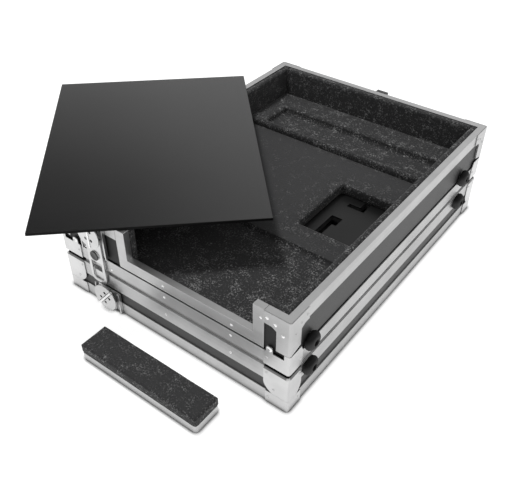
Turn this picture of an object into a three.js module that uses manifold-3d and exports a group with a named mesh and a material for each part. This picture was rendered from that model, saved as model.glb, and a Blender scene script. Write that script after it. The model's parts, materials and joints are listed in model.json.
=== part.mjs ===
// A flight case for a DJ controller, opened for use. The foam-lined tray stands on its own lid,
// the board that covers the controller lies across the tray's rim, and the loose front panel
// lies on the ground. Lengths are in millimetres, x runs along the front, y from front to back.
// The origin is on the underside of the lid's rim, half way along the front wall.
import * as THREE from "three";
import { mergeVertices } from "three/addons/utils/BufferGeometryUtils.js";
import Module from "manifold-3d";

const wasm = await Module();
wasm.setup();

// Overall sizes
const caseWidth = 390;
const caseDepth = 538;
const lidHeight = 62.5;
const seamHeight = 7.9;
const trayHeight = 85.8;

// Walls: an aluminium extrusion holds the board between an outer and an inner leg
const skin = 1.5;
const wall = 10;
const fit = 0.3;
const edgeRadius = 2;
const overrun = 25;

// Extrusions: how far each leg reaches over the boards
const rimLeg = 19;
const rimInnerLeg = 9;
const trayAngleLeg = 20;
const lidRimLeg = 19.5;
const lidAngleLeg = 23.2;
const flangeWidth = 20;
const grooveHeight = 2.2;
const grooveDepth = 2.4;

// Stacking tongue under the tray's bottom angle, set back from the faces
const tongueInset = 3;
const tongueThickness = 3;
const tongueToCorner = 1;

// Cut-out in the tray's front wall, and the trim round it
const latchToTrim = 21;
const trimToCorner = 1;
const cutoutDepth = 45.7;
const cutoutClearance = 2.5;
const trimWidth = 16;
const sillLeg = 17.6;

// Stamped steel corners
const sheet = 1.2;
const cornerFrontLeg = 36;
const cornerSideLeg = 26;
const trayCornerHeight = 22;
const trayCornerToe = 8;
const trayCornerRise = 30.5;
const trayCornerSideRise = 36.5;
const tabFromCorner = 27.6;
const tabRise = 27.4;
const tabRadius = 5;
const roofChamfer = 3.8;
const roofCornerCurve = 26;
const roofCornerFoot = 25;
const rimCornerLeg = 33;
const uprightFrontLeg = 20;
const uprightSideLeg = 22;
const gussetReach = 7;
const gussetDrop = 4;

// Foam in the tray
const liningThickness = 10;
const frontFoam = 14.3;
const middleFoam = 20.3;
const rearFoam = 31.3;
const middleFoamDepth = 231;
const rearFoamFromBack = 134;
const channelRib = 9;
const channelWidth = 57;
const channelEndBlock = 32;
const channelDepth = 11;
const lidFoamThickness = 19.5;

// Window in the tray's foam, with a slotted plate at its bottom
const windowWidth = 105;
const windowDepth = 122;
const windowFromRight = 10;
const windowFromRearFoam = 67;
const windowPlateThickness = 3;
const windowPlateMargin = 6;
const frontSlotFromLeft = 17.6;
const frontSlotFromFront = 16;
const frontSlotWidth = 11;
const frontSlotLength = 50;
const frontSlotNotchReach = 7;
const frontSlotNotchLength = 19;
const backSlotFromLeft = 23.6;
const backSlotFromFront = 99;
const backSlotLength = 28;
const backSlotWidth = 8;
const backSlotArm = 9;

// Rubber feet on the long right side
const footBaseRadius = 12.5;
const footTipRadius = 7.8;
const footHeight = 10;
const footSpigotRadius = 4.5;
const trayFootRise = 25.5;
const lidFootRise = 51.5;
const frontFootPlace = 42;
const backFootFromBack = 68;

// Butterfly latches: a plate, a hook behind a turning hub, and two wings that fold flat
const latchPlateWidth = 48;
const latchRailWidth = 2;
const latchRailHeight = 3;
const trayLatchFromLeft = 69;
const trayLatchRise = 60;
const trayLatchAbove = 22;
const trayLatchBelow = 35.5;
const lidLatchFromLeft = 81;
const lidLatchRise = 23;
const lidLatchAbove = 14;
const lidLatchBelow = 21;
const hookWidth = 30;
const hookBarWidth = 5;
const hookThickness = 2;
const hookTop = 6;
const trayHookLength = 82;
const lidHookLength = 17;
const hookCrossbarShare = 0.54;
const hookRivetRadius = 7.6;
const hookRivetHeight = 1.6;
const hookRivetDrop = 38.5;
const hubRadius = 9;
const hubHeight = 3.6;
const barrelRadius = 2;
const wingRadius = 21;
const wingThickness = 1.4;
const wingSetback = 2.5;
const wingHoleRadius = 2.4;
const wingHoleSpread = 7.2;
const wingHoleOffset = 5.3;
const keeperWidth = 19;
const keeperHeight = 22;
const trayWingAngle = 90;
const lidWingAngle = 50;

// Carrying handle on the long left side, opposite the feet
const handleLength = 150;
const handlePlateHeight = 38;
const handlePlateThickness = 2;
const earLength = 14;
const earReach = 11;
const earHeight = 16;
const handlePinRadius = 3;
const handleBore = 3.3;
const handleRodRadius = 3.4;
const handleGripRadius = 6;
const handleDrop = 22;
const handleGripLength = 88;
const handlePinDrop = 8;

// Small catch at the middle of the back rim
const catchWidth = 20;
const catchHeight = 30;
const catchPlate = 2;
const catchLip = 7;
const catchFromRight = 178;

// Cover board that lies across the rim
const coverLength = 416;
const coverWidth = 315;
const coverThickness = 4;
const coverTurn = -46.8;
const coverCentreFromLeft = 8.5;
const coverCentreFromFront = 181.5;

// Loose front panel, lying foam side up in front of the case
const panelClearance = 7;
const panelLift = 1.7;
const panelEdgeHeight = 12;
const panelEdgeLap = 7;
const panelEdgeRadius = 5;
const panelFoamThickness = 13;
const panelFoamInset = 0.6;
const panelFoamChamfer = 2;
const panelAhead = 48.4;
const panelFromCutout = 7.9;

// Rivet heads on the latches, the keeper and the handle
const rivetRadius = 2.4;
const rivetHeight = 1;
const cornerRivetRadius = 2.2;
const cornerRivetHeight = 1.1;
const cornerRivetInset = 4.5;
const stubRivetRadius = 3.8;
const stubRivetHeight = 1.6;

// Facet counts
const arcSteps = 4;
const roundSteps = 24;
const rodSides = 10;

// Places that follow from the sizes above
const boardThickness = wall - 2 * (skin + fit);
const proud = sheet + fit;
const halfWidth = caseWidth / 2;
const frontFace = -wall / 2;
const backFace = frontFace + caseDepth;
const trayBottom = lidHeight + seamHeight;
const rimTop = trayBottom + trayHeight;
const boardInset = skin + fit;
const lidRoofTop = lidHeight - skin - fit;
const lidRoofUnder = lidRoofTop - boardThickness;
const trayBoardUnder = trayBottom + skin + fit;
const trayBoardTop = trayBoardUnder + boardThickness;
const trayFloor = trayBoardTop + fit;
const latchRightEdge = trayLatchFromLeft + latchPlateWidth / 2;
const cutoutLeft = -halfWidth + latchRightEdge + latchToTrim + trimWidth;
const cutoutRight = halfWidth - cornerFrontLeg - trimToCorner - trimWidth;
const rearFoamStart = backFace - rearFoamFromBack;
const middleFoamStart = rearFoamStart - middleFoamDepth;
const sillTop = rimTop - cutoutDepth;
const innerWidth = halfWidth - wall;
const innerFront = frontFace + wall;
const innerBack = backFace - wall;
const liningInside = innerWidth - fit - liningThickness - fit;
const windowX1 = liningInside - windowFromRight;
const windowX0 = windowX1 - windowWidth;
const windowY1 = rearFoamStart - windowFromRearFoam;
const windowY0 = windowY1 - windowDepth;

// Colours and finishes
function finish(color, roughness, metalness) {
  return () => new THREE.MeshStandardMaterial({ color, roughness, metalness });
}
const aluminium = finish(0xb9babb, 0.35, 0.9);
const steel = finish(0xc9cacb, 0.28, 0.95);
const laminate = finish(0x3a3a3c, 0.55, 0);
const darkFoam = finish(0x2c2c2e, 0.95, 0);
const rubber = finish(0x1c1c1d, 0.8, 0);
const blackMetal = finish(0x1a1a1b, 0.5, 0.4);
const blackBoard = finish(0x232324, 0.4, 0);

// Solids and the ways they are joined and cut
function solidOf(geometry) {
  const bare = geometry.clone();
  bare.deleteAttribute("normal");
  bare.deleteAttribute("uv");
  const merged = mergeVertices(bare);
  return new wasm.Manifold(
    new wasm.Mesh({
      numProp: 3,
      vertProperties: merged.attributes.position.array,
      triVerts: new Uint32Array(merged.index.array),
    }),
  );
}

function geometryOf(solid) {
  const mesh = solid.getMesh();
  const geometry = new THREE.BufferGeometry();
  geometry.setAttribute("position", new THREE.BufferAttribute(mesh.vertProperties, mesh.numProp));
  geometry.setIndex(new THREE.BufferAttribute(mesh.triVerts, 1));
  geometry.computeVertexNormals();
  return geometry;
}

function join(...pieces) {
  return geometryOf(pieces.map(solidOf).reduce((sum, piece) => sum.add(piece)));
}

function cut(body, ...tools) {
  return geometryOf(tools.map(solidOf).reduce((rest, tool) => rest.subtract(tool), solidOf(body)));
}

function common(...pieces) {
  return geometryOf(pieces.map(solidOf).reduce((shared, piece) => shared.intersect(piece)));
}

function block(x0, x1, y0, y1, z0, z1) {
  const box = new THREE.BoxGeometry(x1 - x0, y1 - y0, z1 - z0);
  return box.translate((x0 + x1) / 2, (y0 + y1) / 2, (z0 + z1) / 2);
}

function outline(points) {
  return new THREE.Shape(points.map(([a, b]) => new THREE.Vector2(a, b)));
}

function roundedRectangle(x0, x1, y0, y1, radius) {
  const shape = new THREE.Shape();
  shape.absarc(x1 - radius, y0 + radius, radius, -Math.PI / 2, 0);
  shape.absarc(x1 - radius, y1 - radius, radius, 0, Math.PI / 2);
  shape.absarc(x0 + radius, y1 - radius, radius, Math.PI / 2, Math.PI);
  shape.absarc(x0 + radius, y0 + radius, radius, Math.PI, 1.5 * Math.PI);
  return shape;
}

function upright(shape, z0, z1, steps = arcSteps) {
  const options = { depth: z1 - z0, bevelEnabled: false, curveSegments: steps };
  return new THREE.ExtrudeGeometry(shape, options).translate(0, 0, z0);
}

// A shape drawn in x and z, carried from y0 back to y1
function deep(shape, y0, y1, steps = arcSteps) {
  const options = { depth: y1 - y0, bevelEnabled: false, curveSegments: steps };
  return new THREE.ExtrudeGeometry(shape, options).rotateX(Math.PI / 2).translate(0, y1, 0);
}

// A shape drawn in y and z, carried from x0 across to x1
function across(shape, x0, x1, steps = arcSteps) {
  const options = { depth: x1 - x0, bevelEnabled: false, curveSegments: steps };
  const turned = new THREE.Matrix4().makeBasis(
    new THREE.Vector3(0, 1, 0),
    new THREE.Vector3(0, 0, 1),
    new THREE.Vector3(1, 0, 0),
  );
  return new THREE.ExtrudeGeometry(shape, options).applyMatrix4(turned).translate(x0, 0, 0);
}

// A flat round head that stands out of a face towards -y
function frontDisc(x, z, radius, y0, y1, steps = roundSteps) {
  const disc = new THREE.CylinderGeometry(radius, radius, y1 - y0, steps);
  return disc.translate(x, (y0 + y1) / 2, z);
}

function rivetHead(x, z, face, radius, height, steps = arcSteps * 3) {
  const head = new THREE.CylinderGeometry(radius, radius / 2, height + fit, steps);
  return head.translate(x, face - (height - fit) / 2, z);
}

// A board that ends at the corners of the case is rounded there, to fit inside the extrusions
function board(x0, x1, y0, y1, z0, z1) {
  const plan = upright(planOutline(boardInset, edgeRadius - boardInset), z0, z1);
  return common(block(x0, x1, y0, y1, z0, z1), plan);
}

// The assembly
const flightCase = new THREE.Group();

function add(name, geometry, material, parent = flightCase) {
  const mesh = new THREE.Mesh(geometry, material());
  mesh.name = name;
  parent.add(mesh);
  return mesh;
}

// A mesh made for the front right corner is mirrored to the other three
function addAtCorners(name, geometry, material) {
  for (const [side, mirrorX] of [["left", -1], ["right", 1]]) {
    for (const [end, mirrorY] of [["front", 1], ["back", -1]]) {
      const mesh = add(name + "_" + end + "_" + side, geometry, material);
      mesh.scale.set(mirrorX, mirrorY, 1);
      mesh.position.y = mirrorY < 0 ? frontFace + backFace : 0;
    }
  }
}

// Extrusion frames: rings that follow the outline of the case
function ring(inset, width, z0, z1) {
  const outer = edgeRadius > inset ? edgeRadius - inset : 0;
  const inner = edgeRadius > inset + width ? edgeRadius - inset - width : 0;
  const shape = planOutline(inset, outer);
  shape.holes.push(planOutline(inset + width, inner));
  return upright(shape, z0, z1);
}

function planOutline(inset, radius) {
  const x = halfWidth - inset;
  const y0 = frontFace + inset;
  const y1 = backFace - inset;
  if (radius > 0) return roundedRectangle(-x, x, y0, y1, radius);
  return outline([[-x, y0], [x, y0], [x, y1], [-x, y1]]);
}

// A channel embraces the edge of the walls: an outer leg, a web and a short inner leg
function channelFrame(z0, z1, webAtTop, innerLeg) {
  const webStart = webAtTop ? z1 - skin : z0;
  const innerStart = webAtTop ? z1 - innerLeg : z0;
  return join(
    ring(0, skin, z0, z1),
    ring(0, wall, webStart, webStart + skin),
    ring(wall - skin, skin, innerStart, innerStart + innerLeg),
  );
}

// An angle holds the edge where a wall meets the roof or the bottom board
function angleFrame(z0, z1, flangeAtTop) {
  const flangeStart = flangeAtTop ? z1 - skin : z0;
  return join(ring(0, skin, z0, z1), ring(0, flangeWidth, flangeStart, flangeStart + skin));
}

// Small rivet heads: on the front face, or on the right side
function cornerRivets(fromCornerAndHeight, onSide) {
  return fromCornerAndHeight.map(([u, z]) => {
    const head = rivetHead(0, 0, -proud, cornerRivetRadius, cornerRivetHeight, 2 * arcSteps);
    if (!onSide) return head.translate(halfWidth - u, frontFace, z);
    return head.rotateZ(Math.PI / 2).translate(halfWidth, frontFace + u, z);
  });
}

// Stamped corners: a folded sheet on two faces, and on some a plate on the third
function foldedSheet(frontLeg, sideLeg, z0, z1, outside, inside) {
  const x = halfWidth;
  const y = frontFace;
  const shape = new THREE.Shape();
  const outerRadius = edgeRadius + outside;
  const innerRadius = Math.max(edgeRadius + inside, fit);
  shape.moveTo(x - frontLeg, y - outside);
  shape.lineTo(x + outside - outerRadius, y - outside);
  shape.absarc(x + outside - outerRadius, y - outside + outerRadius, outerRadius, -Math.PI / 2, 0);
  shape.lineTo(x + outside, y + sideLeg);
  shape.lineTo(x + inside, y + sideLeg);
  shape.absarc(
    x + inside - innerRadius, y - inside + innerRadius, innerRadius, 0, -Math.PI / 2, true,
  );
  shape.lineTo(x - frontLeg, y - inside);
  return upright(shape, z0, z1);
}

// The outlines are drawn from the corner: u runs away from it along the face, then the height
function trimmedTo(geometry, frontOutline, sideOutline) {
  const front = new THREE.Shape();
  frontOutline(front, (u) => halfWidth + proud - u);
  const side = new THREE.Shape();
  sideOutline(side, (u) => frontFace - proud + u);
  return common(
    geometry,
    deep(front, frontFace - overrun, frontFace + overrun * 2),
    across(side, halfWidth - overrun * 2, halfWidth + overrun),
  );
}

function cornerPlate(frontLeg, sideLeg, z0, z1) {
  const x0 = halfWidth - frontLeg;
  const y1 = frontFace + sideLeg;
  const shape = new THREE.Shape();
  const radius = edgeRadius + proud;
  shape.moveTo(x0, frontFace - proud);
  shape.lineTo(halfWidth + proud - radius, frontFace - proud);
  shape.absarc(
    halfWidth + proud - radius, frontFace - proud + radius, radius, -Math.PI / 2, 0,
  );
  shape.lineTo(halfWidth + proud, y1);
  shape.lineTo(x0 + sideLeg / 2, y1);
  shape.lineTo(x0, frontFace + sideLeg / 2);
  return upright(shape, z0, z1);
}

// The room that the frames fill, with a clearance, which every stamped corner leaves free
function caseEnvelope(z0, z1) {
  return upright(planOutline(-fit, edgeRadius + fit), z0, z1);
}

// The tray's bottom corner climbs the edge, and a round tab with a large rivet laps the front board
function trayBottomCorner() {
  const bottom = trayBottom - proud;
  const sheetPart = trimmedTo(
    foldedSheet(cornerFrontLeg, cornerSideLeg, bottom, rimTop, proud, fit),
    cornerWithTab,
    cornerBesideFoot,
  );
  const rivetZ = trayBottom + tabRise;
  const rivetX = halfWidth - tabFromCorner;
  const whole = join(
    sheetPart,
    cornerPlate(cornerFrontLeg, cornerSideLeg, bottom, trayBottom - fit),
    rivetHead(rivetX, rivetZ, frontFace - proud, stubRivetRadius, stubRivetHeight),
    ...cornerRivets([[cornerFrontLeg - cornerRivetInset, trayBottom + trayCornerHeight / 2]], false),
    ...cornerRivets([[cornerSideLeg - cornerRivetInset, trayBottom + trayCornerHeight / 2]], true),
  );
  return cut(whole, caseEnvelope(trayBottom - fit, rimTop));
}

function cornerWithTab(shape, at) {
  const top = trayBottom + trayCornerHeight;
  const place = tabFromCorner + proud;
  shape.moveTo(at(-overrun), trayBottom - overrun);
  shape.lineTo(at(-overrun), trayBottom + trayCornerRise);
  shape.lineTo(at(trayCornerToe), trayBottom + trayCornerRise);
  shape.lineTo(at(trayCornerToe), top);
  shape.lineTo(at(place - tabRadius), top);
  shape.lineTo(at(place - tabRadius), trayBottom + tabRise);
  shape.absarc(at(place), trayBottom + tabRise, tabRadius, 0, Math.PI);
  shape.lineTo(at(place + tabRadius), top);
  shape.lineTo(at(2 * cornerFrontLeg), top);
  shape.lineTo(at(2 * cornerFrontLeg), trayBottom - overrun);
}

function cornerBesideFoot(shape, at) {
  const leg = cornerSideLeg + proud;
  shape.moveTo(at(-overrun), trayBottom - overrun);
  shape.lineTo(at(-overrun), trayBottom + trayCornerRise);
  shape.lineTo(at(0), trayBottom + trayCornerRise);
  shape.lineTo(at(uprightSideLeg), trayBottom + trayCornerSideRise);
  shape.lineTo(at(leg), trayBottom + trayCornerHeight);
  shape.lineTo(at(leg + overrun), trayBottom - overrun);
}

function lidRoofCorner() {
  const bottom = lidRimLeg + fit;
  const bend = lidHeight - roofCornerCurve;
  const sheetPart = trimmedTo(
    foldedSheet(cornerFrontLeg, cornerSideLeg, bottom, lidHeight + proud, proud, fit),
    (shape, at) => curvedLeg(shape, at, cornerFrontLeg + proud, bottom, bend),
    (shape, at) => curvedLeg(shape, at, cornerSideLeg + proud, bottom, bend),
  );
  const crown = lidHeight - roofChamfer - proud;
  const whole = join(
    sheetPart,
    cornerPlate(cornerFrontLeg, cornerSideLeg, crown, lidHeight + proud),
    ...cornerRivets([
      [cornerFrontLeg - cornerRivetInset, lidHeight - 2 * cornerRivetInset],
      [roofCornerFoot - cornerRivetInset, lidRimLeg + 2 * cornerRivetInset],
    ], false),
    ...cornerRivets([[cornerSideLeg - cornerRivetInset, lidHeight - 2 * cornerRivetInset]], true),
  );
  const inside = cut(caseEnvelope(0, lidHeight + fit), ...roofEdgeTools(1, 1, fit, 1));
  return cut(whole, inside, ...roofEdgeTools(1, 1, proud, 1));
}

// Tools that take the sharp edges off one corner of the roof, moved out by a distance
function roofEdgeTools(sideX, endY, out, clearance) {
  const x = sideX * halfWidth;
  const y = endY > 0 ? frontFace : backFace;
  const drop = out * Math.SQRT2 - roofChamfer;
  const low = lidHeight + drop - overrun;
  const high = lidHeight + drop + overrun;
  const frontSection = outline([
    [y - endY * overrun, low], [y + endY * overrun, high], [y - endY * overrun, high],
  ]);
  const sideSection = outline([
    [x + sideX * overrun, low], [x - sideX * overrun, high], [x + sideX * overrun, high],
  ]);
  const xs = [x - sideX * (cornerFrontLeg + clearance), x + sideX * overrun];
  const ys = [y + endY * (cornerSideLeg + clearance), y - endY * overrun];
  return [
    across(frontSection, Math.min(...xs), Math.max(...xs)),
    deep(sideSection, Math.min(...ys), Math.max(...ys)),
  ];
}

// A leg that is straight at the top and sweeps in to a narrower foot
function curvedLeg(shape, at, leg, bottom, bend) {
  const foot = roofCornerFoot * (leg / (cornerFrontLeg + proud));
  shape.moveTo(at(-overrun), lidHeight + overrun);
  shape.lineTo(at(leg), lidHeight + overrun);
  shape.lineTo(at(leg), bend);
  shape.quadraticCurveTo(at(leg), (bend + bottom) / 2, at(foot), bottom);
  shape.lineTo(at(-overrun), bottom);
}

function rimCorner() {
  const whole = join(
    foldedSheet(rimCornerLeg, cornerSideLeg, fit, lidRimLeg, proud, fit),
    ...cornerRivets([[rimCornerLeg - cornerRivetInset, lidRimLeg / 2]], false),
    ...cornerRivets([[cornerSideLeg - cornerRivetInset, lidRimLeg / 2]], true),
  );
  return cut(whole, caseEnvelope(0, lidHeight));
}

// The upright angle at each corner of the tray, with the riveted plate that braces the rim
function trayUprightCorner() {
  const bottom = trayBottom + trayCornerHeight + fit;
  const edgeBottom = trayBottom + trayCornerRise + fit;
  const sideBottom = trayBottom + trayCornerSideRise + fit;
  const legTop = rimTop - rimLeg;
  const toe = trayCornerToe + fit;
  const plate = trimmedTo(
    foldedSheet(cornerFrontLeg, cornerFrontLeg, bottom, rimTop, proud, fit),
    (shape, at) => gussetedLeg(shape, at, uprightFrontLeg, legTop, [
      [uprightFrontLeg, bottom], [toe, bottom], [toe, edgeBottom], [-overrun, edgeBottom],
    ]),
    (shape, at) => gussetedLeg(shape, at, uprightSideLeg, legTop, [
      [uprightSideLeg, sideBottom], [0, edgeBottom], [-overrun, edgeBottom],
    ]),
  );
  const angle = foldedSheet(
    uprightFrontLeg - proud, uprightSideLeg - proud, sideBottom, legTop - fit, fit + sheet / 2, -skin,
  );
  const heads = [
    [cornerFrontLeg - cornerRivetInset, rimTop - 2 * cornerRivetInset],
    [uprightFrontLeg, rimTop - 3 * cornerRivetInset],
    [2 * cornerRivetInset, rimTop - rimLeg - cornerRivetInset],
  ];
  return join(plate, angle, ...cornerRivets(heads, false), ...cornerRivets(heads, true));
}

function gussetedLeg(shape, at, width, legTop, foot) {
  shape.moveTo(at(-overrun), rimTop + overrun);
  shape.lineTo(at(cornerFrontLeg + proud), rimTop + overrun);
  shape.lineTo(at(cornerFrontLeg + proud), legTop);
  shape.lineTo(at(width + gussetReach), legTop);
  shape.lineTo(at(width), legTop - gussetDrop);
  for (const [u, z] of foot) shape.lineTo(at(u), z);
}

// Strips under the tray that carry it on the lid's roof, and stop short of the corners
function tongueStrips() {
  const z0 = lidHeight + fit;
  const z1 = trayBottom + skin / 2;
  const x1 = halfWidth - cornerFrontLeg - tongueToCorner;
  const x2 = halfWidth - tongueInset;
  const y1 = frontFace + cornerSideLeg + tongueToCorner;
  const y2 = backFace - cornerSideLeg - tongueToCorner;
  const frontLine = frontFace + tongueInset;
  const backLine = backFace - tongueInset;
  return [
    block(-x1, x1, frontLine, frontLine + tongueThickness, z0, z1),
    block(-x1, x1, backLine - tongueThickness, backLine, z0, z1),
    block(-x2, -x2 + tongueThickness, y1, y2, z0, z1),
    block(x2 - tongueThickness, x2, y1, y2, z0, z1),
  ];
}

// Lid: roof board, four walls, roof angle, rim channel and foam
function buildLid() {
  const wallBottom = skin + fit;
  const wallTop = lidRoofUnder - fit;
  const x1 = halfWidth - boardInset;
  const x0 = x1 - boardThickness;
  const y0 = frontFace + boardInset;
  const y1 = backFace - boardInset;
  add("lid_roof_board", board(-x1, x1, y0, y1, lidRoofUnder, lidRoofTop), laminate);
  add("lid_wall_left", board(-x1, -x0, y0, y1, wallBottom, wallTop), laminate);
  add("lid_wall_right", board(x0, x1, y0, y1, wallBottom, wallTop), laminate);
  const inner = x0 - fit;
  add("lid_wall_front", block(-inner, inner, y0, y0 + boardThickness, wallBottom, wallTop), laminate);
  add("lid_wall_back", block(-inner, inner, y1 - boardThickness, y1, wallBottom, wallTop), laminate);
  const corners = [[-1, 1], [1, 1], [-1, -1], [1, -1]];
  const edgeTools = corners.flatMap(([sideX, endY]) => roofEdgeTools(sideX, endY, 0, fit));
  const angle = angleFrame(lidHeight - lidAngleLeg, lidHeight, true);
  add("lid_roof_angle_frame", cut(angle, ...edgeTools), aluminium);
  add("lid_rim_channel_frame", channelFrame(0, lidRimLeg, false, rimInnerLeg), aluminium);
  addAtCorners("lid_roof_corner", lidRoofCorner(), steel);
  addAtCorners("lid_rim_corner", rimCorner(), steel);
  const padX = x0 - fit;
  const foam = block(
    -padX, padX, y0 + boardThickness + fit, y1 - boardThickness - fit,
    lidRoofUnder - fit - lidFoamThickness, lidRoofUnder - fit,
  );
  add("lid_foam_pad", foam, darkFoam);
}

// Tray boards: a bottom board, two long walls, a back wall and a front wall, sawn wide of its trim
function grooveTool(x0, x1, y0, y1) {
  const bottom = trayBottom + trayAngleLeg - grooveHeight;
  return block(x0, x1, y0, y1, bottom, bottom + 2 * grooveHeight);
}

function buildTrayBoards() {
  const bottom = trayFloor;
  const top = rimTop - skin - fit;
  const x1 = halfWidth - boardInset;
  const x0 = x1 - boardThickness;
  const y0 = frontFace + boardInset;
  const y1 = backFace - boardInset;
  const bottomBoard = board(-x1, x1, y0, y1, trayBoardUnder, trayBoardTop);
  add("tray_bottom_board", cut(bottomBoard, ...slotTools()), laminate);
  const right = cut(
    board(x0, x1, y0, y1, bottom, top),
    grooveTool(x1 - grooveDepth, x1 + overrun, y0 - overrun, y1 + overrun),
  );
  add("tray_wall_right", right, laminate);
  const left = cut(
    board(-x1, -x0, y0, y1, bottom, top),
    grooveTool(-x1 - overrun, -x1 + grooveDepth, y0 - overrun, y1 + overrun),
  );
  add("tray_wall_left", left, laminate);
  const inner = x0 - fit;
  const back = cut(
    block(-inner, inner, y1 - boardThickness, y1, bottom, top),
    grooveTool(-inner - overrun, inner + overrun, y1 - grooveDepth, y1 + overrun),
  );
  add("tray_wall_back", back, laminate);
  const front = cut(
    block(-inner, inner, y0, y0 + boardThickness, bottom, top),
    grooveTool(-inner - overrun, inner + overrun, y0 - overrun, y0 + grooveDepth),
    block(
      cutoutLeft - skin - cutoutClearance, cutoutRight + skin + cutoutClearance,
      y0 - overrun, y0 + overrun, sillTop - skin - cutoutClearance, rimTop + overrun,
    ),
  );
  add("tray_wall_front", front, laminate);
}

// Tray extrusions: the bottom angle, the rim channel open at the cut-out, and the cut-out's trim
function buildTrayFrames() {
  const angle = angleFrame(trayBottom, trayBottom + trayAngleLeg, false);
  add("tray_bottom_angle_frame", join(angle, ...tongueStrips()), aluminium);
  const rim = cut(
    channelFrame(rimTop - rimLeg, rimTop, true, rimInnerLeg),
    block(
      cutoutLeft - trimWidth - fit, cutoutRight + trimWidth + fit,
      frontFace - overrun, innerFront + fit, rimTop - overrun, rimTop + overrun,
    ),
  );
  add("tray_rim_channel_frame", rim, aluminium);
  const flange = outline([
    [cutoutLeft - trimWidth, rimTop],
    [cutoutLeft - trimWidth, sillTop - sillLeg],
    [cutoutRight + trimWidth, sillTop - sillLeg],
    [cutoutRight + trimWidth, rimTop],
    [cutoutRight, rimTop],
    [cutoutRight, sillTop],
    [cutoutLeft, sillTop],
    [cutoutLeft, rimTop],
  ]);
  const web = outline([
    [cutoutLeft - skin, rimTop],
    [cutoutLeft - skin, sillTop - skin],
    [cutoutRight + skin, sillTop - skin],
    [cutoutRight + skin, rimTop],
    [cutoutRight, rimTop],
    [cutoutRight, sillTop],
    [cutoutLeft, sillTop],
    [cutoutLeft, rimTop],
  ]);
  const caps = [
    [cutoutLeft - trimWidth, cutoutLeft],
    [cutoutRight, cutoutRight + trimWidth],
  ].map(([x0, x1]) => block(x0, x1, frontFace, innerFront, rimTop - skin, rimTop));
  const trim = join(
    deep(flange, frontFace, frontFace + skin),
    deep(web, frontFace, innerFront),
    ...caps,
  );
  add("cutout_trim", trim, aluminium);
  addAtCorners("tray_bottom_corner", trayBottomCorner(), steel);
  addAtCorners("tray_upright_corner", trayUprightCorner(), aluminium);
}

// Tray foam: wall linings with returns on the front stubs, a stepped floor and a rear block
function buildTrayFoam() {
  const x1 = innerWidth - fit;
  const x0 = x1 - liningThickness;
  const y0 = innerFront + fit;
  const y1 = innerBack - fit;
  const top = rimTop - fit;
  const stubLine = y0 + liningThickness;
  const leftLining = outline([
    [-x1, y0], [cutoutLeft, y0], [cutoutLeft, stubLine], [-x0, stubLine], [-x0, y1], [-x1, y1],
  ]);
  const rightLining = outline([
    [x1, y0], [x1, y1], [x0, y1], [x0, stubLine], [cutoutRight, stubLine], [cutoutRight, y0],
  ]);
  add("foam_lining_left", upright(leftLining, trayFloor, top), darkFoam);
  add("foam_lining_right", upright(rightLining, trayFloor, top), darkFoam);
  const inner = x0 - fit;
  const backLine = y1 - liningThickness;
  add("foam_lining_back", block(-inner, inner, backLine, y1, trayFloor, top), darkFoam);

  const rearBlock = cut(
    block(-inner, inner, rearFoamStart + fit, backLine - fit, trayFloor, trayFloor + rearFoam),
    block(
      -inner + channelEndBlock, inner + overrun,
      rearFoamStart + channelRib, rearFoamStart + channelRib + channelWidth,
      trayFloor + rearFoam - channelDepth, trayFloor + rearFoam + overrun,
    ),
  );
  add("foam_rear_block", rearBlock, darkFoam);

  const floorFront = stubLine + fit;
  const section = outline([
    [floorFront, trayFloor],
    [rearFoamStart, trayFloor],
    [rearFoamStart, trayFloor + middleFoam],
    [middleFoamStart, trayFloor + middleFoam],
    [middleFoamStart, trayFloor + frontFoam],
    [floorFront, trayFloor + frontFoam],
  ]);
  const sillPart = block(
    cutoutLeft + fit, cutoutRight - fit, y0, floorFront + fit, trayFloor, trayFloor + frontFoam,
  );
  const plateTop = trayFloor + windowPlateThickness;
  const m = windowPlateMargin;
  const floor = cut(
    join(across(section, -inner, inner), sillPart),
    block(windowX0, windowX1, windowY0, windowY1, trayFloor - overrun, rimTop),
    block(
      windowX0 - m - fit, windowX1 + m + fit, windowY0 - m - fit, windowY1 + m + fit,
      trayFloor - overrun, plateTop + fit,
    ),
  );
  add("foam_floor", floor, darkFoam);

  const plate = block(
    windowX0 - m, windowX1 + m, windowY0 - m, windowY1 + m, trayFloor, plateTop,
  );
  add("window_plate", cut(plate, ...slotTools()), blackBoard);
}

// Two slots go through the window's plate and the tray's bottom board
function slotTools() {
  return [frontSlot(), backSlot()].map((shape) =>
    upright(shape, trayBottom - overrun, trayFloor + overrun));
}

// The front slot runs back and widens to the right, the back slot runs right and turns back
function frontSlot() {
  const x = windowX0 + frontSlotFromLeft;
  const y = windowY0 + frontSlotFromFront;
  const notch = y + frontSlotLength - frontSlotNotchLength;
  return outline([
    [x, y],
    [x + frontSlotWidth, y],
    [x + frontSlotWidth, notch],
    [x + frontSlotWidth + frontSlotNotchReach, notch],
    [x + frontSlotWidth + frontSlotNotchReach, y + frontSlotLength],
    [x, y + frontSlotLength],
  ]);
}

function backSlot() {
  const x0 = windowX0 + backSlotFromLeft;
  const x1 = x0 + backSlotLength;
  const y = windowY0 + backSlotFromFront;
  return outline([
    [x0, y],
    [x1, y],
    [x1, windowY1],
    [x1 - backSlotArm, windowY1],
    [x1 - backSlotArm, y + backSlotWidth],
    [x0, y + backSlotWidth],
  ]);
}

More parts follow.
